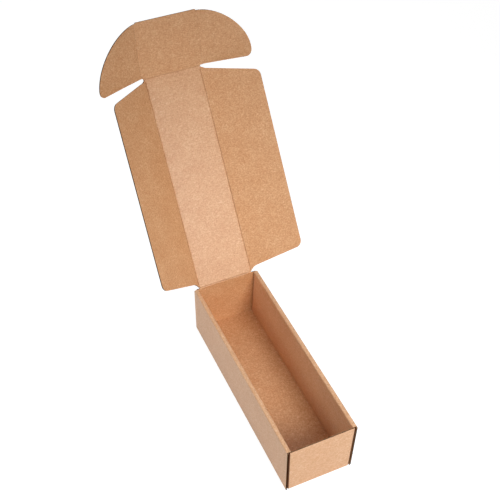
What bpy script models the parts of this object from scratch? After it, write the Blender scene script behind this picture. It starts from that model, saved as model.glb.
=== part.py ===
"""Long bottle gift box with its lid open: one sheet of thin corrugated board, folded.

Metres, +Z up, the origin at the centre of the tray's underside. The tuck flap closes over the -Y end,
and the lid hinges at the +Y end. Each hinged panel turns on its crease, at the middle of the board.
"""

import math

import bmesh
import bpy
from mathutils import Vector

MM = 0.001

# Board and tray, outside sizes.
BOARD = 1.6 * MM
LENGTH = 350 * MM
WIDTH = 110 * MM
HEIGHT = 96 * MM
NEAR_WALL_DROP = 0.8 * MM

# Clearances: at a crease, between the layers of a long wall, beside an ear in its slot, under a panel.
CREASE_GAP = 0.3 * MM
LAYER_GAP = 0.2 * MM
EAR_PLAY = 0.15 * MM
END_GAP = 1.1 * MM
FOOT_GAP = 0.4 * MM

# Folds inside the tray, and the dust flaps that they carry.
FOLD_RADIUS = 0.6 * MM
FOLD_STEPS = 4
DUST_FLAP = 90 * MM

# Lock tabs of the inner panels, two a side, in slots through the base.
TAB_LENGTH = 40 * MM
TAB_AT = 90 * MM
TAB_PLAY = 0.25 * MM
TAB_LIFT = 0.3 * MM

# Wings of the lid.
WING_FOOT = 2.2 * MM
WING_BACK_SLOPE = 0.196
WING_BACK_START = 6.85 * MM
WING_RELIEF = 7 * MM
WING_RELIEF_RADIUS = 18 * MM
WING_FRONT_SLOPE = 0.2565
WING_FRONT_START = 2.8 * MM
WING_CORNER_RADIUS = 12 * MM

# Tuck flap and its ears.
TUCK_FOOT = 1 * MM
TUCK_SHOULDER = 2.2 * MM
SLOT_RADIUS = 1.4 * MM
EAR_DEPTH = 86.3 * MM
EAR_SQUARENESS = 1.7
EAR_CORNER = 8 * MM
EAR_STEPS = 22

# Rest pose, degrees: the lid from closed, and each flap folded in from flat.
LID_OPEN = 126.3
LEFT_WING_FOLD = 38.2
RIGHT_WING_FOLD = 23.9
TUCK_FOLD = 25.2
LEFT_EAR_FOLD = 23.5
RIGHT_EAR_FOLD = 3.0

HALF = BOARD / 2
TINY = 0.01 * MM
BEND = FOLD_RADIUS + HALF

# Mid-planes of a long wall's layers, from the outside in.
OUTER_X = WIDTH / 2 - HALF
EAR_X = OUTER_X - BOARD - EAR_PLAY
DUST_X = EAR_X - BOARD - EAR_PLAY
INNER_X = DUST_X - BOARD - LAYER_GAP
WING_X = INNER_X - BOARD - CREASE_GAP

# Creases of the lid and of the tuck flap.
LID_Y = LENGTH / 2 - HALF
LID_Z = HEIGHT + CREASE_GAP + HALF
LID_REACH = LENGTH - HALF + CREASE_GAP + HALF
CUT_BACK = HALF + CREASE_GAP
EDGE_Y = LENGTH / 2 - HALF - BEND
ROLL_Y = EDGE_Y - FOLD_RADIUS / 2 - LAYER_GAP
TOP_Z = HEIGHT - HALF


def clear_scene():
    for thing in list(bpy.data.objects):
        bpy.data.objects.remove(thing)
    parts = bpy.data.collections.new("bottle_gift_box")
    bpy.context.scene.collection.children.link(parts)
    return parts


def free_edges(sheet, low, high):
    """Free edges of the sheet whose two ends are inside a box."""
    return [
        edge
        for edge in sheet.edges
        if edge.is_boundary
        and all(
            low[axis] - TINY <= corner.co[axis] <= high[axis] + TINY
            for corner in edge.verts
            for axis in range(3)
        )
    ]


def split(sheet, axis, places):
    """Scores the flat sheet across one axis, at each place and at its mirror image."""
    normal = Vector((0, 0, 0))
    normal[axis] = 1
    for place in places:
        for side in (-1, 1):
            everything = sheet.verts[:] + sheet.edges[:] + sheet.faces[:]
            bmesh.ops.bisect_plane(
                sheet, geom=everything, plane_co=normal * place * side, plane_no=normal
            )


def new_edges(grown):
    """The far edges of what an extrusion or a spin has just added."""
    corners = {item for item in grown if isinstance(item, bmesh.types.BMVert)}
    return [
        item
        for item in grown
        if isinstance(item, bmesh.types.BMEdge) and corners.issuperset(item.verts)
    ]


def fold(sheet, edges, centre, axis):
    """Carries free edges a quarter turn round a crease."""
    turned = bmesh.ops.spin(
        sheet,
        geom=edges,
        cent=centre,
        axis=axis,
        angle=math.pi / 2,
        steps=FOLD_STEPS,
    )
    return new_edges(turned["geom_last"])


def panel(sheet, edges, reach):
    """Carries free edges straight on, as a flat panel."""
    grown = bmesh.ops.extrude_edge_only(sheet, edges=edges)["geom"]
    corners = [item for item in grown if isinstance(item, bmesh.types.BMVert)]
    bmesh.ops.translate(sheet, verts=corners, vec=reach)
    return new_edges(grown)


def base_panel():
    """The tray's base, scored for its folds and with the slots for the lock tabs."""
    sheet = bmesh.new()
    bmesh.ops.create_grid(sheet, x_segments=1, y_segments=1, size=1)
    bmesh.ops.scale(sheet, vec=(OUTER_X - BEND, EDGE_Y, 1), verts=sheet.verts)
    bmesh.ops.translate(sheet, vec=(0, 0, HALF), verts=sheet.verts)
    slot_x = (INNER_X - HALF - TAB_PLAY, INNER_X + HALF + TAB_PLAY)
    tab_y = (TAB_AT - TAB_LENGTH / 2, TAB_AT + TAB_LENGTH / 2)
    slot_y = (tab_y[0] - TAB_PLAY, tab_y[1] + TAB_PLAY)
    split(sheet, 0, (*slot_x, DUST_X - BEND))
    split(sheet, 1, (*tab_y, *slot_y, ROLL_Y))
    slots = []
    for face in sheet.faces:
        middle = face.calc_center_median()
        across = slot_x[0] < abs(middle.x) < slot_x[1]
        along = slot_y[0] < abs(middle.y) < slot_y[1]
        if across and along:
            slots.append(face)
    bmesh.ops.delete(sheet, geom=slots, context="FACES")
    return sheet


def add_long_wall(sheet, side):
    """Outer panel, roll-over strip, and inner panel with its lock tabs."""
    axis = (0, -side, 0)
    start = OUTER_X - BEND
    rise = TOP_Z - BEND
    foot = BOARD + FOOT_GAP
    bottom = min(side * start, side * OUTER_X)
    edges = free_edges(sheet, (side * start, -LENGTH, 0), (side * start, LENGTH, HALF))
    edges = fold(sheet, edges, (side * start, 0, HALF + BEND), axis)
    panel(sheet, edges, (0, 0, rise - HALF - BEND))
    for end in (-1, 1):
        low = (bottom, end * EDGE_Y, 0)
        high = (bottom + BEND, end * EDGE_Y, rise)
        panel(
            sheet, free_edges(sheet, low, high), (0, end * (LENGTH / 2 - EDGE_Y), 0)
        )
        near = min(end * EDGE_Y, end * LENGTH / 2)
        low = (side * OUTER_X, near, rise)
        high = (side * OUTER_X, near + LENGTH / 2 - EDGE_Y, rise)
        panel(sheet, free_edges(sheet, low, high), (0, 0, BEND))
    low = (side * OUTER_X, -ROLL_Y, rise)
    high = (side * OUTER_X, ROLL_Y, rise)
    edges = fold(sheet, free_edges(sheet, low, high), (side * start, 0, rise), axis)
    strip = start - INNER_X - BEND
    edges = panel(sheet, edges, (-side * strip, 0, 0))
    edges = fold(sheet, edges, (side * (INNER_X + BEND), 0, rise), axis)
    panel(sheet, edges, (0, 0, foot - rise))
    for at in (-TAB_AT, TAB_AT):
        low = (side * INNER_X, at - TAB_LENGTH / 2, foot)
        high = (side * INNER_X, at + TAB_LENGTH / 2, foot)
        panel(sheet, free_edges(sheet, low, high), (0, 0, TAB_LIFT - foot))


def add_end_wall(sheet, end, top):
    """End wall and the two dust flaps that it sends back inside the long walls."""
    half_width = DUST_X - BEND
    flap_top = TOP_Z - BEND
    low = (-half_width, end * EDGE_Y, 0)
    high = (half_width, end * EDGE_Y, HALF)
    centre = (0, end * EDGE_Y, HALF + BEND)
    edges = fold(sheet, free_edges(sheet, low, high), centre, (end, 0, 0))
    edges = panel(sheet, edges, (0, 0, flap_top - HALF - BEND))
    panel(sheet, edges, (0, 0, top - flap_top))
    wall_y = end * (EDGE_Y + BEND)
    for side in (-1, 1):
        low = (side * half_width, wall_y, HALF + BEND)
        high = (side * half_width, wall_y, top)
        centre = (side * half_width, end * EDGE_Y, 0)
        fold(sheet, free_edges(sheet, low, high), centre, (0, 0, -side * end))
        low = (side * DUST_X, end * EDGE_Y, HALF + BEND)
        high = (side * DUST_X, end * EDGE_Y, flap_top)
        reach = LENGTH / 2 - DUST_FLAP - EDGE_Y
        panel(sheet, free_edges(sheet, low, high), (0, end * reach, 0))


def make_object(parts, name, mesh, colour):
    thing = bpy.data.objects.new(name, mesh)
    parts.objects.link(thing)
    paper = bpy.data.materials.new(name + "_kraft")
    paper.use_nodes = True
    shader = paper.node_tree.nodes["Principled BSDF"]
    shader.inputs["Base Color"].default_value = (*colour, 1)
    shader.inputs["Roughness"].default_value = 0.85
    shader.inputs["Metallic"].default_value = 0
    thing.data.materials.append(paper)
    return thing


def make_tray(parts):
    sheet = base_panel()
    for side in (-1, 1):
        add_long_wall(sheet, side)
    add_end_wall(sheet, -1, HEIGHT - NEAR_WALL_DROP)
    add_end_wall(sheet, 1, HEIGHT)
    bmesh.ops.recalc_face_normals(sheet, faces=sheet.faces)
    mesh = bpy.data.meshes.new("tray")
    sheet.to_mesh(mesh)
    sheet.free()
    tray = make_object(parts, "tray", mesh, (0.58, 0.38, 0.25))
    board = tray.modifiers.new("board", "SOLIDIFY")
    board.thickness = BOARD
    board.offset = 0
    board.use_even_offset = True
    return tray


def rounded(corners):
    """Outline points: a corner (x, y, radius) with a radius becomes an arc."""
    points = []
    for index, (x, y, radius) in enumerate(corners):
        here = Vector((x, y))
        if not radius:
            points.append(here)
            continue
        back = (Vector(corners[index - 1][:2]) - here).normalized()
        on = (Vector(corners[(index + 1) % len(corners)][:2]) - here).normalized()
        half_angle = back.angle(on) / 2
        centre = here + (back + on).normalized() * radius / math.sin(half_angle)
        first = here + back * radius / math.tan(half_angle) - centre
        last = here + on * radius / math.tan(half_angle) - centre
        turn = first.angle(last)
        steps = max(3, round(turn / math.radians(12)))
        for step in range(steps + 1):
            share = step / steps
            weight = math.sin(turn)
            before = math.sin((1 - share) * turn) / weight
            after = math.sin(share * turn) / weight
            points.append(centre + first * before + last * after)
    return points


def make_flap(parts, name, corners, root_axis, colour):
    """A flat panel cut to an outline, half-round where it turns on its crease.

    The crease is the local X or Y axis, and the outline starts half a board behind it.
    """
    curve = bpy.data.curves.new(name, "CURVE")
    curve.dimensions = "2D"
    curve.fill_mode = "BOTH"
    curve.extrude = HALF
    points = rounded(corners)
    spline = curve.splines.new("POLY")
    spline.points.add(len(points) - 1)
    for place, point in zip(spline.points, points):
        place.co = (point.x, point.y, 0, 1)
    spline.use_cyclic_u = True
    drawn = bpy.data.objects.new(name + "_outline", curve)
    mesh = bpy.data.meshes.new_from_object(drawn)
    mesh.name = name
    bpy.data.objects.remove(drawn)
    solid = bmesh.new()
    solid.from_mesh(mesh)
    bmesh.ops.remove_doubles(solid, verts=solid.verts, dist=TINY)
    bmesh.ops.dissolve_limit(
        solid, angle_limit=math.radians(0.5), verts=solid.verts, edges=solid.edges
    )
    root = [
        edge
        for edge in solid.edges
        if all(
            abs(abs(corner.co[root_axis]) - HALF) < TINY
            and abs(abs(corner.co.z) - HALF) < TINY
            for corner in edge.verts
        )
        and abs((edge.verts[0].co - edge.verts[1].co)[1 - root_axis]) > BOARD
    ]
    bmesh.ops.bevel(
        solid,
        geom=root,
        offset=HALF - TINY,
        offset_type="OFFSET",
        segments=3,
        profile=0.5,
        affect="EDGES",
    )
    bmesh.ops.recalc_face_normals(solid, faces=solid.faces)
    solid.to_mesh(mesh)
    solid.free()
    return make_object(parts, name, mesh, colour)


def make_lid(parts):
    width = WING_X - CUT_BACK
    length = LID_REACH - CUT_BACK
    corners = [
        (-width, -HALF, 0),
        (width, -HALF, 0),
        (width, length, 0),
        (-width, length, 0),
    ]
    return make_flap(parts, "lid_panel", corners, 1, (0.66, 0.43, 0.26))


def make_wing(parts, name, side, colour):
    """The lid's side wing: it tapers towards its foot at both ends, to swing clear of the end walls."""
    foot = HEIGHT - WING_FOOT
    front = LID_REACH - CUT_BACK - CREASE_GAP / 2
    front_edge = front - WING_FRONT_START - NEAR_WALL_DROP
    corners = [
        (-HALF, HALF, 0),
        (HALF / 2, HALF, 0),
        (
            WING_RELIEF,
            WING_BACK_START + WING_BACK_SLOPE * WING_RELIEF,
            WING_RELIEF_RADIUS,
        ),
        (foot, WING_BACK_START + WING_BACK_SLOPE * foot, WING_CORNER_RADIUS),
        (foot, front_edge + END_GAP - WING_FRONT_SLOPE * foot, WING_CORNER_RADIUS),
        (BOARD + FOOT_GAP, front_edge + END_GAP - WING_FRONT_SLOPE * BOARD, 0),
        (END_GAP, front, 0),
        (-HALF, front, 0),
    ]
    corners = [(side * x, y, radius) for x, y, radius in corners]
    return make_flap(parts, name, corners, 0, colour)


def make_tuck_flap(parts):
    """The flap that closes outside the near wall, with a slot each side where it leaves the lid."""
    root = WING_X + SLOT_RADIUS
    side = EAR_X - CUT_BACK
    foot = HEIGHT - TUCK_FOOT
    half = [
        (root, -HALF, 0),
        (root, ear_start(), SLOT_RADIUS),
        (side, ear_start(), 0),
        (side, foot - TUCK_SHOULDER, 0),
        (side - TUCK_SHOULDER, foot, 0),
    ]
    other = [(-x, y, radius) for x, y, radius in reversed(half)]
    return make_flap(parts, "tuck_flap", half + other, 1, (0.50, 0.30, 0.16))


def ear_start():
    """How far below the tuck crease an ear starts, to pass under the roll-over strips."""
    return LID_Z - HEIGHT + BOARD + 2 * CREASE_GAP


def make_ear(parts, name, side, colour):
    """An ear of the tuck flap: a lobe that swings into the slot of a long wall."""
    low = ear_start() + EAR_CORNER
    high = HEIGHT - TUCK_FOOT - TUCK_SHOULDER
    corners = [
        (-HALF, ear_start(), 0),
        (EAR_DEPTH, ear_start(), EAR_CORNER),
    ]
    for step in range(1, EAR_STEPS + 1):
        turn = math.pi / 2 * step / EAR_STEPS
        across = abs(math.cos(turn)) ** (2 / EAR_SQUARENESS)
        down = math.sin(turn) ** (2 / EAR_SQUARENESS)
        corners.append((EAR_DEPTH * across, low + (high - low) * down, 0))
    corners.append((-HALF, high, 0))
    corners = [(side * x, y, radius) for x, y, radius in corners]
    return make_flap(parts, name, corners, 0, colour)


def place(thing, parent, location, axis, degrees):
    """Puts a panel on its crease, folded by an angle."""
    thing.parent = parent
    thing.location = location
    thing.rotation_euler[axis] = math.radians(degrees)


def build():
    parts = clear_scene()
    tray = make_tray(parts)
    lid = make_lid(parts)
    left_wing = make_wing(parts, "left_wing", -1, (0.55, 0.30, 0.16))
    right_wing = make_wing(parts, "right_wing", 1, (0.60, 0.34, 0.19))
    tuck = make_tuck_flap(parts)
    left_ear = make_ear(parts, "left_ear", -1, (0.46, 0.26, 0.13))
    right_ear = make_ear(parts, "right_ear", 1, (0.52, 0.30, 0.16))
    place(lid, tray, (0, LID_Y, LID_Z), 0, 180 - LID_OPEN)
    place(left_wing, lid, (-WING_X, 0, 0), 1, LEFT_WING_FOLD)
    place(right_wing, lid, (WING_X, 0, 0), 1, -RIGHT_WING_FOLD)
    place(tuck, lid, (0, LID_REACH, 0), 0, TUCK_FOLD)
    place(left_ear, tuck, (-EAR_X, 0, 0), 1, LEFT_EAR_FOLD)
    place(right_ear, tuck, (EAR_X, 0, 0), 1, -RIGHT_EAR_FOLD)


build()
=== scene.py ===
"""Looks of the long bottle gift box: thin fluted kraft board, folded, standing open.

Metres, +Z up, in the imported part's own frame. The end that the tuck flap closes is at -Y, and
the lid's hinge is at +Y.
"""

import math

import bmesh
import bpy
from mathutils import Matrix, Vector


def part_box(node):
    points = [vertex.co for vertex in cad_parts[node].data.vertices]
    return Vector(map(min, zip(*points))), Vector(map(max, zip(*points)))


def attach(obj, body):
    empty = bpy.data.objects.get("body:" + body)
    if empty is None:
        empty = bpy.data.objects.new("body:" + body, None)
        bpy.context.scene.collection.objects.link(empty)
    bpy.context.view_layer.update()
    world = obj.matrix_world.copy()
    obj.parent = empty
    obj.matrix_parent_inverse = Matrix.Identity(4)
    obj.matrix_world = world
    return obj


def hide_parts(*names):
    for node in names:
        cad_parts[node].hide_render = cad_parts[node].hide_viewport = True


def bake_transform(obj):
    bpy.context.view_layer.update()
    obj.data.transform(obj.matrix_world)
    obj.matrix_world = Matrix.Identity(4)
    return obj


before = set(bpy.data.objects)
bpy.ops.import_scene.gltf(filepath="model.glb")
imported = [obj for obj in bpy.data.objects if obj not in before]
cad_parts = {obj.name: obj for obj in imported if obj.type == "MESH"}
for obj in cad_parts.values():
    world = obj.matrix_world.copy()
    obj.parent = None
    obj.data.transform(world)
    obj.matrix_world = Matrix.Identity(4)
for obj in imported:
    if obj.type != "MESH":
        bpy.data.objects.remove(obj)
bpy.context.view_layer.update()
MM = 0.001

# ---------------------------------------------------------------------------
# Camera: a long lens about 1.5 m from the box. It looks down over the tuck end and the left
# wall, into the tray and the open lid.
# ---------------------------------------------------------------------------
LENS_LENGTH = 71.18
FILM_WIDTH = 36
CAMERA_PLACE = (-0.44302, -0.87408, 1.29095)
CAMERA_TURN = (45.349, -0.440, -24.511)
lens = bpy.data.cameras.new("camera")
lens.lens = LENS_LENGTH
lens.sensor_width = FILM_WIDTH
camera = bpy.data.objects.new("camera", lens)
camera.location = CAMERA_PLACE
camera.rotation_euler = [math.radians(turn) for turn in CAMERA_TURN]
bpy.context.scene.collection.objects.link(camera)
bpy.context.scene.camera = camera

# ---------------------------------------------------------------------------
# Sleeve: the tray's base and both long walls, one sheet of thin fluted board wrapped round.
# Each wall goes up, over a narrow strip and down again inside, where its tabs lock in the base.
# The sheet is three papers: an outer liner, a wavy middle paper and an inner liner.
# ---------------------------------------------------------------------------
BOARD = 1.6 * MM
LINER = 0.24 * MM
MIDDLE_PAPER = 0.17 * MM
FLUTE_PITCH = 3.3 * MM
FLUTE_HEIGHT = BOARD - 2 * LINER - MIDDLE_PAPER
FLUTE_STEP = FLUTE_PITCH / 12
FOLD = 1.4 * MM
FOLD_STEPS = 8
TRAY_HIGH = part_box("tray")[1]
END_Y = TRAY_HIGH.y
TOP_Z = TRAY_HIGH.z - BOARD / 2
OUTER_X = TRAY_HIGH.x - BOARD / 2
INNER_X = OUTER_X - 5.3 * MM

PAPER_ROUGHNESS = 0.45
WASHBOARD = 0.012 * MM
GRAIN_DEPTH = 0.05 * MM
GRAIN_SPREAD = 0.05
NOISE_ROUGHNESS = 0.62
# Each layer: scale, detail, how far it shifts the tone at either end of its noise, stretch,
# turn, and the part of the noise that it spans.
GRAIN_LAYERS = {
    "clouds": (30, 2, (-0.8, 0.8), (1, 1, 1), 0.0, (0.3, 0.7)),
    "mottle": (420, 5, (-3.6, 3.6), (1, 1, 1), 0.0, (0.3, 0.7)),
    "fibres_along": (650, 3, (-2, 2), (1, 0.25, 1), 0.0, (0.3, 0.7)),
    "fibres_across": (650, 3, (-2, 2), (0.25, 1, 1), 0.5, (0.3, 0.7)),
    "dark_specks": (900, 1, (0, -4), (1, 0.55, 1), 0.9, (0.63, 0.78)),
    "pale_fibres": (800, 1, (0, 3), (0.4, 1, 1), 0.2, (0.64, 0.8)),
}
HUE_PATCHES = (160, 3, (0, 1), (1, 1, 1), 1.3, (0.3, 0.7))
WARMER = (1.006, 0.992, 0.982)
COOLER = (0.994, 1.008, 1.018)
LIGHTENING = 0.3
BROWNING = 1.1
# How much browner the painted shade and painted highlight make the colour.
PAINTED_LIGHT_BROWNING = 1.8


def kraft_paper(name, colour, mottling, seed, gloss):
    """Brown kraft paper: cloudy tone and hue, crossing fibres, dark and pale specks."""
    paper = bpy.data.materials.new(name)
    paper.use_nodes = True
    nodes = paper.node_tree.nodes
    links = paper.node_tree.links
    shader = nodes["Principled BSDF"]
    shader.inputs["Roughness"].default_value = PAPER_ROUGHNESS
    shader.inputs["Specular IOR Level"].default_value = gloss
    place = nodes.new("ShaderNodeTexCoord")

    def grain(layer, middle, spread):
        """Noise on the board's own coordinates, spread about a middle value."""
        scale, detail, shares, stretch, turn, spanned = layer
        mapping = nodes.new("ShaderNodeMapping")
        mapping.inputs["Scale"].default_value = stretch
        mapping.inputs["Rotation"].default_value = (turn, turn, turn)
        mapping.inputs["Location"].default_value = (seed, seed, seed)
        noise = nodes.new("ShaderNodeTexNoise")
        noise.inputs["Scale"].default_value = scale
        noise.inputs["Detail"].default_value = detail
        noise.inputs["Roughness"].default_value = NOISE_ROUGHNESS
        ranged = nodes.new("ShaderNodeMapRange")
        for limit, noise_value, share in zip(("Min", "Max"), spanned, shares):
            ranged.inputs["From " + limit].default_value = noise_value
            ranged.inputs["To " + limit].default_value = middle + share * spread
        links.new(place.outputs["Object"], mapping.inputs["Vector"])
        links.new(mapping.outputs["Vector"], noise.inputs["Vector"])
        links.new(noise.outputs["Fac"], ranged.inputs["Value"])
        return ranged.outputs["Result"]

    def combine(operation, first, second):
        """One step of arithmetic on two sockets or numbers."""
        node = nodes.new("ShaderNodeMath")
        node.operation = operation
        for socket, value in zip(node.inputs, (first, second)):
            if isinstance(value, float):
                socket.default_value = value
            else:
                links.new(value, socket)
        return node.outputs["Value"]

    # Tone: every layer of grain multiplied together, about 1.
    layers = [
        grain(layer, 1, GRAIN_SPREAD * mottling) for layer in GRAIN_LAYERS.values()
    ]
    tone = layers[0]
    for layer in layers[1:]:
        tone = combine("MULTIPLY", tone, layer)

    # Colour: darker pulp is browner too. The attribute read here carries the painted shade and
    # painted highlight of the creases and corner folds; it scales the tone, and browns the colour
    # the stronger it is.
    painted_light = nodes.new("ShaderNodeAttribute")
    painted_light.attribute_name = "painted_light"
    light_and_shade = painted_light.outputs["Fac"]
    paler = combine("ADD", combine("MULTIPLY", tone, LIGHTENING), 1 - LIGHTENING)
    shade = combine("MULTIPLY", paler, combine("ADD", light_and_shade, 1.0))
    pulp = combine("ADD", combine("MULTIPLY", tone, -BROWNING), 1 + BROWNING)
    painted_browning = combine("MULTIPLY", combine("MULTIPLY", light_and_shade, light_and_shade), PAINTED_LIGHT_BROWNING)
    tint = nodes.new("ShaderNodeMix")
    tint.data_type = "RGBA"
    for socket, hue in (("A", WARMER), ("B", COOLER)):
        mixed = [part * change for part, change in zip(colour, hue)]
        tint.inputs[socket].default_value = (*mixed, 1)
    links.new(grain(HUE_PATCHES, 0, 1), tint.inputs["Factor"])
    browned = nodes.new("ShaderNodeGamma")
    links.new(tint.outputs["Result"], browned.inputs["Color"])
    links.new(combine("ADD", pulp, painted_browning), browned.inputs["Gamma"])
    colouring = nodes.new("ShaderNodeVectorMath")
    colouring.operation = "SCALE"
    links.new(browned.outputs["Color"], colouring.inputs[0])
    links.new(shade, colouring.inputs["Scale"])
    links.new(colouring.outputs["Vector"], shader.inputs["Base Color"])

    # Relief: the flutes show through the liner as a faint washboard, under the grain.
    flutes = nodes.new("ShaderNodeAttribute")
    flutes.attribute_name = "across_flutes"
    turns = combine("MULTIPLY", flutes.outputs["Fac"], 2 * math.pi / FLUTE_PITCH)
    washboard = combine("MULTIPLY", combine("SINE", turns, 0.0), WASHBOARD)
    height = combine("ADD", washboard, combine("MULTIPLY", tone, GRAIN_DEPTH))
    bump = nodes.new("ShaderNodeBump")
    bump.inputs["Strength"].default_value = 1
    bump.inputs["Distance"].default_value = 1
    links.new(height, bump.inputs["Height"])
    links.new(bump.outputs["Normal"], shader.inputs["Normal"])
    return paper


outside_paper = kraft_paper("kraft_outside", (0.69, 0.402, 0.228), 0.8, 0.0, 0.23)
inside_paper = kraft_paper("kraft_inside", (0.62, 0.322, 0.149), 1.0, 0.3, 0.5)
# The flutes are near-black: painted shade of the tunnels between the liners.
flute_shade = kraft_paper("kraft_flutes_painted_shade", (0.066, 0.03, 0.011), 0.8, 0.6, 0.0)
# Cut edges are near-black: painted shade of the open flutes and of the narrow gaps beside the
# edges.
shaded_cut_edge = kraft_paper("kraft_cut_edge_painted_shade", (0.057, 0.023, 0.007), 0.8, 0.9, 0.0)


def rounded_path(corners, radius):
    """A path through the corners, with an arc at each one but the two ends."""
    points = [Vector(corners[0])]
    for before, here, after in zip(corners, corners[1:], corners[2:]):
        back = (Vector(before) - Vector(here)).normalized()
        on = (Vector(after) - Vector(here)).normalized()
        half = back.angle(on) / 2
        centre = Vector(here) + (back + on).normalized() * radius / math.sin(half)
        first = Vector(here) + back * radius / math.tan(half) - centre
        last = Vector(here) + on * radius / math.tan(half) - centre
        turn = first.angle(last)
        for step in range(FOLD_STEPS + 1):
            share = step / FOLD_STEPS
            early = math.sin((1 - share) * turn) / math.sin(turn)
            late = math.sin(share * turn) / math.sin(turn)
            points.append(centre + first * early + last * late)
    points.append(Vector(corners[-1]))
    apart = [points[0]]
    for point in points[1:]:
        if (point - apart[-1]).length > 1e-6:
            apart.append(point)
    return apart


def paper_layer_tree():
    """Geometry Nodes: sweeps a folded path into one layer of paper, wavy if it is fluted."""
    tree = bpy.data.node_groups.new("paper_layer", "GeometryNodeTree")
    links = tree.links
    for name, way, kind in (
        ("Geometry", "INPUT", "Geometry"),
        ("Sweep Start", "INPUT", "Vector"),
        ("Sweep", "INPUT", "Vector"),
        ("Offset", "INPUT", "Float"),
        ("Flute Height", "INPUT", "Float"),
        ("Flute Pitch", "INPUT", "Float"),
        ("Flute Step", "INPUT", "Float"),
        ("Fluted", "INPUT", "Bool"),
        ("Paper", "INPUT", "Material"),
        ("Geometry", "OUTPUT", "Geometry"),
    ):
        tree.interface.new_socket(name, in_out=way, socket_type="NodeSocket" + kind)

    def node(kind, **settings):
        """A new node of the tree, with its settings made."""
        made = tree.nodes.new(kind)
        for name, value in settings.items():
            setattr(made, name, value)
        return made

    given = node("NodeGroupInput")
    result = node("NodeGroupOutput")
    curve = node("GeometryNodeMeshToCurve")
    links.new(given.outputs["Geometry"], curve.inputs["Mesh"])
    even = node("GeometryNodeResampleCurve", mode="LENGTH")
    links.new(curve.outputs["Curve"], even.inputs["Curve"])
    links.new(given.outputs["Flute Step"], even.inputs["Length"])
    pick = node("GeometryNodeSwitch", input_type="GEOMETRY")
    links.new(given.outputs["Fluted"], pick.inputs["Switch"])
    links.new(curve.outputs["Curve"], pick.inputs["False"])
    links.new(even.outputs["Curve"], pick.inputs["True"])
    tangent = node("GeometryNodeInputTangent")
    way = node("ShaderNodeVectorMath", operation="NORMALIZE")
    links.new(given.outputs["Sweep"], way.inputs[0])
    side = node("ShaderNodeVectorMath", operation="CROSS_PRODUCT")
    links.new(tangent.outputs["Tangent"], side.inputs[0])
    links.new(way.outputs["Vector"], side.inputs[1])
    along = node("GeometryNodeSplineParameter")
    flutes = node("ShaderNodeMath", operation="DIVIDE")
    links.new(along.outputs["Length"], flutes.inputs[0])
    links.new(given.outputs["Flute Pitch"], flutes.inputs[1])
    angle = node("ShaderNodeMath", operation="MULTIPLY")
    links.new(flutes.outputs["Value"], angle.inputs[0])
    angle.inputs[1].default_value = 2 * math.pi
    wave = node("ShaderNodeMath", operation="SINE")
    links.new(angle.outputs["Value"], wave.inputs[0])
    half = node("ShaderNodeMath", operation="MULTIPLY")
    links.new(given.outputs["Flute Height"], half.inputs[0])
    half.inputs[1].default_value = 0.5
    lift = node("ShaderNodeMath", operation="MULTIPLY_ADD")
    links.new(wave.outputs["Value"], lift.inputs[0])
    links.new(half.outputs["Value"], lift.inputs[1])
    links.new(given.outputs["Offset"], lift.inputs[2])
    shift = node("ShaderNodeVectorMath", operation="SCALE")
    links.new(side.outputs["Vector"], shift.inputs[0])
    links.new(lift.outputs["Value"], shift.inputs["Scale"])
    total = node("ShaderNodeVectorMath", operation="ADD")
    links.new(shift.outputs["Vector"], total.inputs[0])
    links.new(given.outputs["Sweep Start"], total.inputs[1])
    moved = node("GeometryNodeSetPosition")
    links.new(pick.outputs["Output"], moved.inputs["Geometry"])
    links.new(total.outputs["Vector"], moved.inputs["Offset"])
    line = node("GeometryNodeCurveToMesh")
    links.new(moved.outputs["Geometry"], line.inputs["Curve"])
    swept = node("GeometryNodeExtrudeMesh", mode="EDGES")
    links.new(line.outputs["Mesh"], swept.inputs["Mesh"])
    links.new(given.outputs["Sweep"], swept.inputs["Offset"])
    real = node("GeometryNodeRealizeInstances")
    links.new(swept.outputs["Mesh"], real.inputs["Geometry"])
    finish = node("GeometryNodeSetMaterial")
    links.new(real.outputs["Geometry"], finish.inputs["Geometry"])
    links.new(given.outputs["Paper"], finish.inputs["Material"])
    links.new(finish.outputs["Geometry"], result.inputs["Geometry"])
    return tree


layer_tree = paper_layer_tree()


def as_mesh(thing):
    """The object with its modifiers worked in, as a new plain object."""
    graph = bpy.context.evaluated_depsgraph_get()
    mesh = bpy.data.meshes.new_from_object(thing.evaluated_get(graph))
    plain = bpy.data.objects.new(thing.name, mesh)
    bpy.context.scene.collection.objects.link(plain)
    bpy.data.objects.remove(thing)
    return plain


def paper_layer(path, start, sweep, offset, thickness, below, above, rim, fluted=False):
    """One sheet of paper: its two faces and its cut edge each have their own finish."""
    mesh = bpy.data.meshes.new("layer")
    edges = [(place, place + 1) for place in range(len(path) - 1)]
    mesh.from_pydata([tuple(point) for point in path], edges, [])
    layer = bpy.data.objects.new("layer", mesh)
    bpy.context.scene.collection.objects.link(layer)
    swept = layer.modifiers.new("paper_layer", "NODES")
    swept.node_group = layer_tree
    sizes = {
        "Sweep Start": start,
        "Sweep": sweep,
        "Offset": offset,
        "Flute Height": FLUTE_HEIGHT if fluted else 0.0,
        "Flute Pitch": FLUTE_PITCH,
        "Flute Step": FLUTE_STEP,
        "Fluted": fluted,
        "Paper": below,
    }
    for socket in layer_tree.interface.items_tree:
        if socket.in_out == "INPUT" and socket.name in sizes:
            swept[socket.identifier] = sizes[socket.name]
    sheet = as_mesh(layer)
    finishes = [below]
    for finish in (above, rim):
        if finish not in finishes:
            sheet.data.materials.append(finish)
            finishes.append(finish)
    solid = sheet.modifiers.new("thickness", "SOLIDIFY")
    solid.thickness = thickness
    solid.offset = 0
    solid.use_even_offset = True
    solid.material_offset = finishes.index(above)
    solid.material_offset_rim = finishes.index(rim)
    return as_mesh(sheet)


def fluted_layer(path, start, sweep):
    """The wavy middle paper, painted near-black as the shade between the liners and at its cut
    edge.
    """
    papers = (flute_shade, flute_shade, shaded_cut_edge)
    return paper_layer(path, start, sweep, 0, MIDDLE_PAPER, *papers, fluted=True)


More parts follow.
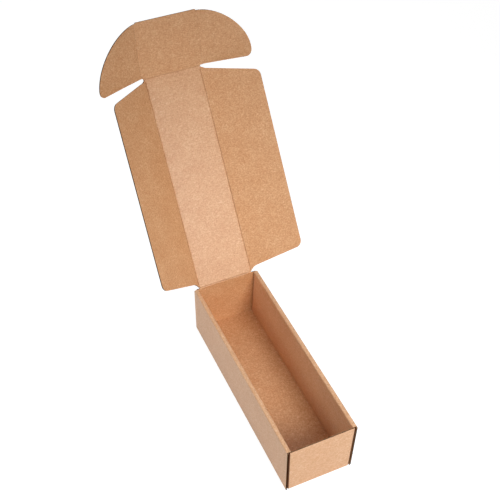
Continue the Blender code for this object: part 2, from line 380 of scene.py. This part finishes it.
def board(path, start, sweep, papers, rims):
    """Three papers along a path: a liner on each side and the flutes between them; the flutes and
    the liners' hidden faces are painted dark as shade.
    """
    out = BOARD / 2 - LINER / 2
    left = (papers[0], flute_shade, rims[0])
    right = (flute_shade, papers[1], rims[1])
    return [
        paper_layer(path, start, sweep, -out, LINER, *left),
        fluted_layer(path, start, sweep),
        paper_layer(path, start, sweep, out, LINER, *right),
    ]


def block(low, high, finish):
    """A plain block between two corners, used only to cut with."""
    mesh = bpy.data.meshes.new("block")
    solid = bmesh.new()
    bmesh.ops.create_cube(solid, size=1)
    size = [top - bottom for bottom, top in zip(low, high)]
    middle = [(top + bottom) / 2 for bottom, top in zip(low, high)]
    bmesh.ops.scale(solid, vec=size, verts=solid.verts)
    bmesh.ops.translate(solid, vec=middle, verts=solid.verts)
    solid.to_mesh(mesh)
    solid.free()
    mesh.materials.append(finish)
    thing = bpy.data.objects.new("block", mesh)
    bpy.context.scene.collection.objects.link(thing)
    return thing


def trim(layers, tool, operation="DIFFERENCE"):
    """Cuts every layer with the tool, and removes the tool."""
    cut_layers = []
    for layer in layers:
        cut = layer.modifiers.new("cut", "BOOLEAN")
        cut.operation = operation
        cut.solver = "EXACT"
        cut.material_mode = "TRANSFER"
        cut.object = tool
        cut_layers.append(as_mesh(layer))
    bpy.data.objects.remove(tool)
    return cut_layers


SMOOTH_FOLD = math.radians(32)


def join(layers, name):
    """One object of several layers, smooth round its folds and sharp at its cut edges."""
    whole = bmesh.new()
    papers = []
    for layer in layers:
        slots = [slot for slot in layer.data.materials if slot]
        papers += [paper for paper in slots if paper not in papers]
        order = [papers.index(paper) for paper in slots]
        first = len(whole.faces)
        whole.from_mesh(layer.data)
        whole.faces.ensure_lookup_table()
        for face in whole.faces[first:]:
            face.material_index = order[min(face.material_index, len(order) - 1)]
        bpy.data.objects.remove(layer)
    bmesh.ops.remove_doubles(whole, verts=whole.verts, dist=1e-7)
    bmesh.ops.recalc_face_normals(whole, faces=whole.faces)
    for face in whole.faces:
        face.smooth = True
    for edge in whole.edges:
        edge.smooth = edge.calc_face_angle(math.pi) < SMOOTH_FOLD
    mesh = bpy.data.meshes.new(name)
    whole.to_mesh(mesh)
    whole.free()
    for paper in papers:
        mesh.materials.append(paper)
    thing = bpy.data.objects.new(name, mesh)
    bpy.context.scene.collection.objects.link(thing)
    return thing


# How nearly a face must look along an axis to count as facing that way.
FACING = 0.7


def mark_flutes(mesh, across):
    """Stores how far each corner lies across the flutes, for the washboard in the paper."""
    marks = mesh.attributes.new("across_flutes", "FLOAT", "CORNER")
    for face in mesh.polygons:
        for corner in face.loop_indices:
            point = mesh.vertices[mesh.loops[corner].vertex_index].co
            marks.data[corner].value = across(point, face.normal)


LEAN_RIGHT = 3.6 * MM
LEAN_LEFT = 0.7 * MM


def lean_out(mesh):
    """Folded board springs back, so both long walls stand a little open at the top."""
    for vertex in mesh.vertices:
        lean = LEAN_RIGHT if vertex.co.x > 0 else -LEAN_LEFT
        share = min(abs(vertex.co.x) / INNER_X, 1)
        vertex.co.x += lean * share * vertex.co.z / TRAY_HIGH.z


# The middle of the sheet, from the foot of one inner panel to the foot of the other.
PANEL_FOOT = 2 * MM
sleeve_corners = [
    (INNER_X, 0, PANEL_FOOT),
    (INNER_X, 0, TOP_Z),
    (OUTER_X, 0, TOP_Z),
    (OUTER_X, 0, BOARD / 2),
    (-OUTER_X, 0, BOARD / 2),
    (-OUTER_X, 0, TOP_Z),
    (-INNER_X, 0, TOP_Z),
    (-INNER_X, 0, PANEL_FOOT),
]
shaded_cut_edges = (shaded_cut_edge, shaded_cut_edge)
sleeve = board(
    rounded_path(sleeve_corners, FOLD),
    (0, -END_Y, 0),
    (0, 2 * END_Y, 0),
    (inside_paper, outside_paper),
    shaded_cut_edges,
)

# Only the outer walls run the full length. The inner panels, the strips and the base end
# sooner, so what lies past them is cut away.
ROLL_Y = END_Y - 3.4 * MM
STRIP_Y = END_Y - BOARD - 0.15 * MM
BASE_Y = END_Y - 2.2 * MM
FOLD_Z = TOP_Z - FOLD
WELL_PAST = 0.2
WELL_ABOVE = 0.1
WELL_BELOW = -0.01
PANEL_HALF = OUTER_X - BOARD / 2 - 0.1 * MM
STRIP_FROM = FOLD_Z - 0.01 * MM
BASE_UPTO = PANEL_FOOT + 0.05 * MM
cuts = (
    (PANEL_HALF, PANEL_FOOT, FOLD_Z, ROLL_Y, shaded_cut_edge),
    (WELL_PAST, STRIP_FROM, WELL_ABOVE, STRIP_Y, outside_paper),
    (OUTER_X - FOLD, WELL_BELOW, BASE_UPTO, BASE_Y, shaded_cut_edge),
)
for end in (-1, 1):
    for half, low, high, start, finish in cuts:
        ends = sorted((end * start, end * WELL_PAST))
        tool = block((-half, ends[0], low), (half, ends[1], high), finish)
        sleeve = trim(sleeve, tool)

# Two tabs a side lock through slots in the base, and stop just above its underside.
TAB_Y = (70 * MM, 110 * MM)
TAB_TIP = 0.3 * MM
LOCK_HALF = 1.05 * MM
LOCK_SPARE = LOCK_HALF / 4
LOCK_TOP = 1.8 * MM
for side in (-1, 1):
    for end in (-1, 1):
        ends = sorted((end * (TAB_Y[0] - LOCK_SPARE), end * (TAB_Y[1] + LOCK_SPARE)))
        low = (side * INNER_X - LOCK_HALF, ends[0], WELL_BELOW)
        high = (side * INNER_X + LOCK_HALF, ends[1], LOCK_TOP)
        sleeve = trim(sleeve, block(low, high, shaded_cut_edge))
for side in (-1, 1):
    for end in (-1, 1):
        tab = [Vector((side * INNER_X, 0, height)) for height in (PANEL_FOOT, TAB_TIP)]
        ends = sorted((end * TAB_Y[0], end * TAB_Y[1]))
        start = (0, ends[0], 0)
        sweep = (0, ends[1] - ends[0], 0)
        sleeve += board(tab, start, sweep, (inside_paper, inside_paper), shaded_cut_edges)
sleeve = join(sleeve, "sleeve")
mark_flutes(sleeve.data, lambda at, facing: at.x if abs(facing.z) > FACING else at.z)
lean_out(sleeve.data)
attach(sleeve, "tray")
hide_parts("tray")

# ---------------------------------------------------------------------------
# End walls: each folds up from the base and sends a dust flap back inside both long walls.
# The flutes stand upright here, so they show along the near wall's top edge. The folds to the
# dust flaps are the tightest in the box; down each corner fold a dark line of painted shade
# stands for the shadow in the slot beside it.
# ---------------------------------------------------------------------------
DUST_X = INNER_X + BOARD + 0.2 * MM
DUST_END = 85 * MM
WALL_Y = END_Y - BOARD / 2
NEAR_TOP = 95.2 * MM
FAR_TOP = 95.5 * MM
TIGHT_FOLD = 0.95 * MM
WALL_FOOT = BOARD / 2 + TIGHT_FOLD
# The painted shade starts this far out and darkens over a short way, then fades along the flap.
FOLD_START = DUST_X - 0.8 * MM
FOLD_FADE = 0.6 * MM
FLAP_FADE = 8 * MM
FOLD_SHADE = 0.75


def paint_corner_shade(mesh):
    """Paints shade round each corner fold, where the slot beside it lies in shadow, fading out
    along the dust flap.
    """
    marks = mesh.attributes.new("painted_light", "FLOAT", "POINT")
    for vertex, mark in zip(mesh.vertices, marks.data):
        round_fold = min(max((abs(vertex.co.x) - FOLD_START) / FOLD_FADE, 0), 1)
        behind = max(WALL_Y - abs(vertex.co.y), 0) / FLAP_FADE
        mark.value = -FOLD_SHADE * round_fold * max(1 - behind, 0)


for end, name, top in ((-1, "near_wall", NEAR_TOP), (1, "far_wall", FAR_TOP)):
    corners = [
        (DUST_X, end * DUST_END, 0),
        (DUST_X, end * WALL_Y, 0),
        (-DUST_X, end * WALL_Y, 0),
        (-DUST_X, end * DUST_END, 0),
    ]
    papers = (outside_paper, inside_paper) if end < 0 else (inside_paper, outside_paper)
    path = rounded_path(corners, TIGHT_FOLD)
    wall = board(path, (0, 0, WALL_FOOT), (0, 0, top - WALL_FOOT), papers, papers)

    # The dust flaps are lower than the wall, to pass under the strips.
    ends = sorted((end * (WALL_Y - TIGHT_FOLD), 0))
    low = (-WELL_PAST, ends[0], FOLD_Z)
    high = (WELL_PAST, ends[1], WELL_PAST)
    wall = trim(wall, block(low, high, shaded_cut_edge))

    # The fold from the base up into the wall.
    corners = [
        (0, end * BASE_Y, BOARD / 2),
        (0, end * WALL_Y, BOARD / 2),
        (0, end * WALL_Y, WALL_FOOT),
    ]
    path = rounded_path(corners, TIGHT_FOLD)
    half = DUST_X - TIGHT_FOLD
    start = (-half, 0, 0)
    sweep = (2 * half, 0, 0)
    out = (BOARD - LINER) / 2 * end
    for offset, paper in ((out, outside_paper), (-out, inside_paper)):
        wall.append(paper_layer(path, start, sweep, offset, LINER, paper, paper, paper))
    wall = join(wall, name)
    mark_flutes(wall.data, lambda at, facing: at.y if abs(facing.x) > FACING else at.x)
    paint_corner_shade(wall.data)
    lean_out(wall.data)
    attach(wall, "tray")

# ---------------------------------------------------------------------------
# Lid and flaps: flat panels of the same sheet, die-cut to shape, with the flutes running
# lengthways so that their open ends show on the cross-cut edges. Each is cut from a stack of the
# three papers by the shape of its own panel.
# ---------------------------------------------------------------------------
CREASE = 1.6 * MM
# A layer with fewer faces than this is first cut into strips, so that it can bend.
FEW_FACES = 400
CURL_STEPS = 14


def hinge_frame(parent, location, axis, degrees):
    """The frame of a panel: its parent's, moved to the crease and turned about it."""
    turn = Matrix.Rotation(math.radians(degrees), 4, axis)
    return parent @ Matrix.Translation(location) @ turn


def curl(mesh, rise, across):
    """Bends a flap gently inwards across its flutes, from its crease to its free edge."""
    if not rise:
        return
    reach = max(abs(across[0]), abs(across[1]))
    start = min(abs(across[0]), abs(across[1]))
    solid = bmesh.new()
    solid.from_mesh(mesh)
    if len(solid.faces) < FEW_FACES:
        for step in range(1, CURL_STEPS):
            away = start + (reach - start) * step / CURL_STEPS
            line = (math.copysign(away, across[0] + across[1]), 0, 0)
            geometry = solid.verts[:] + solid.edges[:] + solid.faces[:]
            bmesh.ops.bisect_plane(
                solid, geom=geometry, dist=1e-7, plane_co=line, plane_no=(1, 0, 0)
            )
    for vertex in solid.verts:
        away = max(abs(vertex.co.x) - start, 0) / (reach - start)
        vertex.co.z += rise * away * away
    solid.to_mesh(mesh)
    solid.free()


# How far each ear's lower edge falls at its root and at its tip, and how much narrower it is.
EAR_SHAPES = {
    "left_ear": (1.6 * MM, 3.6 * MM, 0.012),
    "right_ear": (1.3 * MM, 6.0 * MM, 0),
}
EAR_REACH = 86.3 * MM
EAR_TUCK = 0.013
EAR_TIP = 16 * MM
TIP_RISE = 2.2 * MM
SLANT_DEPTH = 45 * MM


def trim_ear(mesh, root_drop, tip_drop, narrower):
    """Lets an ear's lower edge fall towards its tip, rounds the tip and draws the ear in."""
    for vertex in mesh.vertices:
        away = abs(vertex.co.x)
        fade = max(0, 1 - vertex.co.y / SLANT_DEPTH) ** 2
        fall = root_drop + (tip_drop - root_drop) * away / EAR_REACH
        tip = max(0, (away - EAR_REACH + EAR_TIP) / EAR_TIP)
        vertex.co.y -= (fall - TIP_RISE * tip * tip) * fade
        vertex.co.x *= 1 - max(EAR_TUCK * fade, narrower)


# The die rounds the slots beside the tuck flap. For each panel: where its corner at a slot
# lies, out to the side and up the panel, how far out it moves, and how far up.
SLOT_CORNERS = {
    "tuck_flap": ((48 * MM, 50.6 * MM), (-1 * MM, 3.4 * MM), 50.7 * MM, 0),
    "left_wing": ((1.9 * MM, 2.1 * MM), (346 * MM, 346.3 * MM), 6.5 * MM, -0.9 * MM),
    "right_wing": ((1.9 * MM, 2.1 * MM), (346 * MM, 346.3 * MM), 8 * MM, -1.2 * MM),
}


def panel_cutter(node, place):
    """A copy of the panel's solid in its own plane, with its corners at the slots eased."""
    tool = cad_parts[node].copy()
    tool.data = tool.data.copy()
    tool.parent = None
    tool.data.materials.clear()
    tool.data.materials.append(shaded_cut_edge)
    bpy.context.scene.collection.objects.link(tool)
    tool.data.transform(place.inverted())
    solid = bmesh.new()
    solid.from_mesh(tool.data)
    bmesh.ops.remove_doubles(solid, verts=solid.verts, dist=1e-6)
    if node in SLOT_CORNERS:
        sideways, upwards, reach, rise = SLOT_CORNERS[node]
        for vertex in solid.verts:
            beside = sideways[0] < abs(vertex.co.x) < sideways[1]
            if beside and upwards[0] < vertex.co.y < upwards[1]:
                vertex.co.x = math.copysign(reach, vertex.co.x)
                vertex.co.y += rise
    solid.to_mesh(tool.data)
    solid.free()
    return tool


# How far the liners' blocks stand out past the board's faces, for the cut to trim.
SPARE = 1 * MM


def flat_board(node, place, across, along, rise):
    """The papers of one panel: a stack as wide and long as given, cut to the outline."""
    tool = panel_cutter(node, place)
    flutes_face = BOARD / 2 - LINER
    stack = []
    for bottom, paper in (
        (flutes_face, inside_paper),
        (-flutes_face - SPARE, outside_paper),
    ):
        low = (across[0], along[0], bottom)
        high = (across[1], along[1], bottom + SPARE)
        stack.append(block(low, high, paper))
    path = [Vector((across[0], 0, 0)), Vector((across[1], 0, 0))]
    sweep = (0, along[1] - along[0], 0)
    stack.append(fluted_layer(path, (0, along[0], 0), sweep))
    stack = trim(stack, tool, "INTERSECT")
    for layer, paper, side in zip(stack, (inside_paper, outside_paper), (1, -1)):
        layer.data.materials.clear()
        for finish in (paper, flute_shade, shaded_cut_edge):
            layer.data.materials.append(finish)
        for face in layer.data.polygons:
            out = face.normal.z * side
            face.material_index = 0 if out > FACING else 1 if out < -FACING else 2
    for layer in stack:
        if node in EAR_SHAPES:
            trim_ear(layer.data, *EAR_SHAPES[node])
        curl(layer.data, rise, across)
    piece = join(stack, node + "_board")
    mark_flutes(piece.data, lambda at, facing: at.x)
    piece.data.transform(place)
    return piece


LID_LEAN = 53.7
LEFT_WING_FOLD = 38.2
RIGHT_WING_FOLD = 23.9
TUCK_FOLD = 25.2
LEFT_EAR_FOLD = 23.5
RIGHT_EAR_FOLD = 3.0
HINGE_Y = 174.2 * MM
HINGE_Z = 97.1 * MM
LID_REACH = 350.3 * MM
WING_X = 47 * MM
EAR_X = 52.45 * MM
world = Matrix.Identity(4)
lid_place = hinge_frame(world, (0, HINGE_Y, HINGE_Z), "X", LID_LEAN)
left_wing_place = hinge_frame(lid_place, (-WING_X, 0, 0), "Y", LEFT_WING_FOLD)
right_wing_place = hinge_frame(lid_place, (WING_X, 0, 0), "Y", -RIGHT_WING_FOLD)
tuck_place = hinge_frame(lid_place, (0, LID_REACH, 0), "X", TUCK_FOLD)
left_ear_place = hinge_frame(tuck_place, (-EAR_X, 0, 0), "Y", LEFT_EAR_FOLD)
right_ear_place = hinge_frame(tuck_place, (EAR_X, 0, 0), "Y", -RIGHT_EAR_FOLD)

WING_WIDTH = 93.8 * MM + BOARD
EAR_WIDTH = EAR_REACH + BOARD
LID_HALF = WING_X - CREASE
TUCK_HALF = EAR_X - CREASE
PAST_END = 0.4
left_wing_width = (-WING_WIDTH, -CREASE)
right_wing_width = (CREASE, WING_WIDTH)
left_ear_width = (-EAR_WIDTH, -CREASE)
right_ear_width = (CREASE, EAR_WIDTH)
lid_length = (CREASE, LID_REACH - CREASE)
flap_length = (CREASE, PAST_END)
ear_length = (0, PAST_END)
panels = (
    ("lid_panel", "lid", lid_place, (-LID_HALF, LID_HALF), lid_length, 0),
    ("left_wing", "left_wing", left_wing_place, left_wing_width, flap_length, 1.6),
    ("right_wing", "right_wing", right_wing_place, right_wing_width, flap_length, 0.6),
    ("tuck_flap", "tuck", tuck_place, (-TUCK_HALF, TUCK_HALF), flap_length, 0),
    ("left_ear", "left_ear", left_ear_place, left_ear_width, ear_length, 1.5),
    ("right_ear", "right_ear", right_ear_place, right_ear_width, ear_length, 1.5),
)
for node, body, place, across, along, rise in panels:
    piece = flat_board(node, place, across, along, rise * MM)
    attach(piece, body)
    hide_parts(node)

# ---------------------------------------------------------------------------
# Creases: where the board is crushed to a line so that a panel can turn. Each is a strip of
# the same sheet that bends between the two panels, with a groove pushed into its inner face.
# A painted highlight lies on one bead, and painted shade lies in the groove and on the other
# bead.
# ---------------------------------------------------------------------------
BEND = 1.2 * MM
CREASE_STEPS = 28


def bent_line(degrees):
    """Points along the middle of the bent board, each with the way that it runs there."""
    spots = [Vector((0, 0))]
    ways = [Vector((1, 0))]
    step_size = 2 * CREASE / CREASE_STEPS
    for step in range(1, CREASE_STEPS + 1):
        share = min(max((step * step_size - CREASE + BEND) / (2 * BEND), 0), 1)
        angle = math.radians(degrees) * share * share * (3 - 2 * share)
        ways.append(Vector((math.cos(angle), math.sin(angle))))
        spots.append(spots[-1] + (ways[-1] + ways[-2]).normalized() * step_size)
    turn = math.radians(degrees)
    corner = spots[-1].x - spots[-1].y / math.tan(turn)
    spots = [spot - Vector((corner, 0)) for spot in spots]
    spots[0] = Vector((-CREASE, 0))
    spots[-1] = Vector((math.cos(turn), math.sin(turn))) * CREASE
    return spots, ways


GROOVE = 0.5 * MM
GROOVE_WIDTH = 0.55 * MM
BEAD = 0.2 * MM
BEAD_AT = 1.0 * MM
BEAD_WIDTH = 0.35 * BEAD_AT
EDGE_FADE = 0.25 * CREASE
BACK_LIFT = 0.1
# Painted light on each crease: a painted highlight on the bead on the fixed panel's side, and
# painted shade in the groove and on the bead on the turning panel's side. The outer face takes a
# share of it.
BACK_LIGHT_SHARE = 0.25
NEAR_BEAD_HIGHLIGHT = 0.16
GROOVE_SHADE = 0.22
FAR_BEAD_SHADE = 0.6 * GROOVE_SHADE
SMOOTH_BEND = math.radians(50)


def crease_strip(name, place, low, high, degrees, press):
    """A bent strip of crushed board, with a groove between two low beads inside; a painted
    highlight on the near bead, painted shade in the groove and on the far bead.
    """
    mesh = bpy.data.meshes.new(name)
    solid = bmesh.new()
    tones = solid.verts.layers.float.new("painted_light")
    rows = []
    for step, (spot, way) in enumerate(zip(*bent_line(degrees))):
        away = (2 * step / CREASE_STEPS - 1) * CREASE
        normal = Vector((-way.y, way.x))
        groove = math.exp(-((away / GROOVE_WIDTH) ** 2))
        beads = [
            math.exp(-(((away - side * BEAD_AT) / BEAD_WIDTH) ** 2)) for side in (-1, 1)
        ]
        strength = min(1, (CREASE - abs(away)) / EDGE_FADE) * press
        lift = (BEAD * sum(beads) - GROOVE * groove) * strength
        # Painted highlight on the near bead, painted shade in the groove and on the far bead.
        crease_light = NEAR_BEAD_HIGHLIGHT * beads[0] - GROOVE_SHADE * groove - FAR_BEAD_SHADE * beads[1]
        crease_light *= strength
        inner = spot + normal * (BOARD / 2 + lift)
        outer = spot - normal * (BOARD / 2 + BACK_LIFT * lift)
        row = []
        for height in (low, high):
            for point, painted_light in ((inner, crease_light), (outer, BACK_LIGHT_SHARE * crease_light)):
                vertex = solid.verts.new((point.x, point.y, height))
                vertex[tones] = painted_light
                row.append(vertex)
        rows.append(row)
    for row, after in zip(rows, rows[1:]):
        low_in, low_out, high_in, high_out = zip(row, after)
        for (one, two), (three, four), paper in (
            (low_in, high_in, 0),
            (low_out, high_out, 1),
            (low_in, low_out, 2),
            (high_in, high_out, 2),
        ):
            solid.faces.new((one, two, four, three)).material_index = paper
    for row in (rows[0], rows[-1]):
        low_in, low_out, high_in, high_out = row
        solid.faces.new((low_in, low_out, high_out, high_in)).material_index = 2
    bmesh.ops.recalc_face_normals(solid, faces=solid.faces)
    for face in solid.faces:
        face.smooth = face.material_index < 2
    for edge in solid.edges:
        edge.smooth = edge.calc_face_angle(math.pi) < SMOOTH_BEND
    bmesh.ops.transform(solid, matrix=place, verts=solid.verts)
    solid.to_mesh(mesh)
    solid.free()
    for paper in (inside_paper, outside_paper, shaded_cut_edge):
        mesh.materials.append(paper)
    strip = bpy.data.objects.new(name, mesh)
    bpy.context.scene.collection.objects.link(strip)
    return strip


def crease_axes(origin, across, along):
    """A frame with X across the crease towards the turning panel, Y to the inside, Z along it."""
    across = across.normalized()
    along = along.normalized()
    inside = along.cross(across)
    turn = Matrix((across, inside, along)).transposed().to_4x4()
    return Matrix.Translation(origin) @ turn


up = Vector((0, 0, 1))
lid_x = lid_place.to_3x3() @ Vector((1, 0, 0))
lid_y = lid_place.to_3x3() @ Vector((0, 1, 0))
tuck_y = tuck_place.to_3x3() @ Vector((0, 1, 0))

# Each crease: its name, the bodies and the slot; where it is, the way across it and along it;
# its two ends in mm, its bend at rest in degrees, and how hard it is pushed in, which scales the
# groove and its painted highlight and shade.
creases = (
    (
        ("lid_crease", "tray", "lid", "lid_panel"),
        (lid_place, up, lid_x),
        (-46.9, 46.9, LID_LEAN - 90, 1.0),
    ),
    (
        ("left_wing_crease", "lid", "left_wing", "left_wing"),
        (left_wing_place, -lid_x, lid_y),
        (1.6, 348.6, LEFT_WING_FOLD, 1.0),
    ),
    (
        ("right_wing_crease", "lid", "right_wing", "right_wing"),
        (right_wing_place, lid_x, -lid_y),
        (-348.6, -1.6, RIGHT_WING_FOLD, 1.0),
    ),
    (
        ("tuck_crease", "lid", "tuck", "tuck_flap"),
        (tuck_place, lid_y, lid_x),
        (-49.2, 48.1, TUCK_FOLD, 0.65),
    ),
    (
        ("left_ear_crease", "tuck", "left_ear", "left_ear"),
        (left_ear_place, -lid_x, tuck_y),
        (1.7, 92.8, LEFT_EAR_FOLD, 0.35),
    ),
    (
        ("right_ear_crease", "tuck", "right_ear", "right_ear"),
        (right_ear_place, lid_x, -tuck_y),
        (-92.8, -1.8, RIGHT_EAR_FOLD, 0.25),
    ),
)
for names, ways, sizes in creases:
    name, parent_body, body, slot = names
    place, across, along = ways
    low, high, degrees, press = sizes
    centre = place.to_translation()
    axes = crease_axes(centre, across, along)
    strip = crease_strip(name, axes, low * MM, high * MM, degrees, press)
    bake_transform(strip)

# ---------------------------------------------------------------------------
# Studio: a table and a surround that look white but light the box only softly, and five broad
# lamps round it.
# ---------------------------------------------------------------------------
TABLE_HALF = 6
TABLE_DROP = 0.3 * MM
mesh = bpy.data.meshes.new("table")
flat = bmesh.new()
bmesh.ops.create_grid(flat, x_segments=1, y_segments=1, size=TABLE_HALF)
bmesh.ops.translate(flat, verts=flat.verts, vec=(0, 0, -TABLE_DROP))
flat.to_mesh(mesh)
flat.free()
table = bpy.data.objects.new("table", mesh)
bpy.context.scene.collection.objects.link(table)


def seen_directly(nodes, links):
    """One for rays from the camera and for those that a glossy or clear surface sends on."""
    ray = nodes.new("ShaderNodeLightPath")
    total = ray.outputs["Is Camera Ray"]
    for kind in ("Is Glossy Ray", "Is Transmission Ray"):
        node = nodes.new("ShaderNodeMath")
        node.operation = "MAXIMUM"
        links.new(total, node.inputs[0])
        links.new(ray.outputs[kind], node.inputs[1])
        total = node.outputs["Value"]
    return total


WHITE = (1, 1, 1, 1)
TABLE_COLOUR = (0.8, 0.8, 0.8, 1)
TABLE_ROUGHNESS = 0.9
SHADOW_SHARE = (0.3, 0.3, 0.3, 1)
TABLE_GLOW = 0.9
white = bpy.data.materials.new("table_white")
white.use_nodes = True
nodes = white.node_tree.nodes
links = white.node_tree.links
table_shader = nodes["Principled BSDF"]
table_shader.inputs["Base Color"].default_value = TABLE_COLOUR
table_shader.inputs["Roughness"].default_value = TABLE_ROUGHNESS
shadowed = nodes.new("ShaderNodeBsdfDiffuse")
shadowed.inputs["Color"].default_value = SHADOW_SHARE
glow = nodes.new("ShaderNodeEmission")
glow.inputs["Color"].default_value = WHITE
glow.inputs["Strength"].default_value = TABLE_GLOW
both = nodes.new("ShaderNodeAddShader")
links.new(shadowed.outputs["BSDF"], both.inputs[0])
links.new(glow.outputs["Emission"], both.inputs[1])
pick = nodes.new("ShaderNodeMixShader")
links.new(seen_directly(nodes, links), pick.inputs["Fac"])
links.new(table_shader.outputs["BSDF"], pick.inputs[1])
links.new(both.outputs["Shader"], pick.inputs[2])
links.new(pick.outputs["Shader"], nodes["Material Output"].inputs["Surface"])
mesh.materials.append(white)

SKY_LIGHT = 0.25
surround = bpy.data.worlds.new("surround")
surround.use_nodes = True
nodes = surround.node_tree.nodes
links = surround.node_tree.links
sky = nodes["Background"]
sky.inputs["Color"].default_value = WHITE
sky.inputs["Strength"].default_value = SKY_LIGHT
backdrop = nodes.new("ShaderNodeBackground")
backdrop.inputs["Color"].default_value = WHITE
pick = nodes.new("ShaderNodeMixShader")
links.new(seen_directly(nodes, links), pick.inputs["Fac"])
links.new(sky.outputs["Background"], pick.inputs[1])
links.new(backdrop.outputs["Background"], pick.inputs[2])
links.new(pick.outputs["Shader"], nodes["World Output"].inputs["Surface"])
bpy.context.scene.world = surround

# Each lamp: its place, what it aims at, its spread in degrees and its power in watts.
AIM_LOW = (0, 0.1, 0.08)
AIM_HIGH = (0, 0.2, 0.2)
LAMP_SIZE = 0.5
lamps = (
    ("front_lamp", (0.2, -1.0, 0.9), AIM_LOW, 60, 1.83),
    ("low_lamp", (0.3, -1.1, 0.6), AIM_HIGH, 180, 0.26),
    ("left_lamp", (-1.2, -0.1, 0.9), AIM_LOW, 180, 4.09),
    ("back_left_lamp", (-1.0, 1.0, 0.7), AIM_LOW, 180, 2.09),
    ("back_lamp", (0.3, 0.9, 1.4), AIM_LOW, 180, 1.54),
)
for name, spot, aim, spread, power in lamps:
    lamp = bpy.data.lights.new(name, "AREA")
    lamp.size = LAMP_SIZE
    lamp.spread = math.radians(spread)
    lamp.energy = power
    thing = bpy.data.objects.new(name, lamp)
    thing.location = spot
    way = Vector(aim) - Vector(spot)
    thing.rotation_euler = way.to_track_quat("-Z", "Y").to_euler()
    bpy.context.scene.collection.objects.link(thing)

bpy.context.scene.view_settings.view_transform = "Standard"
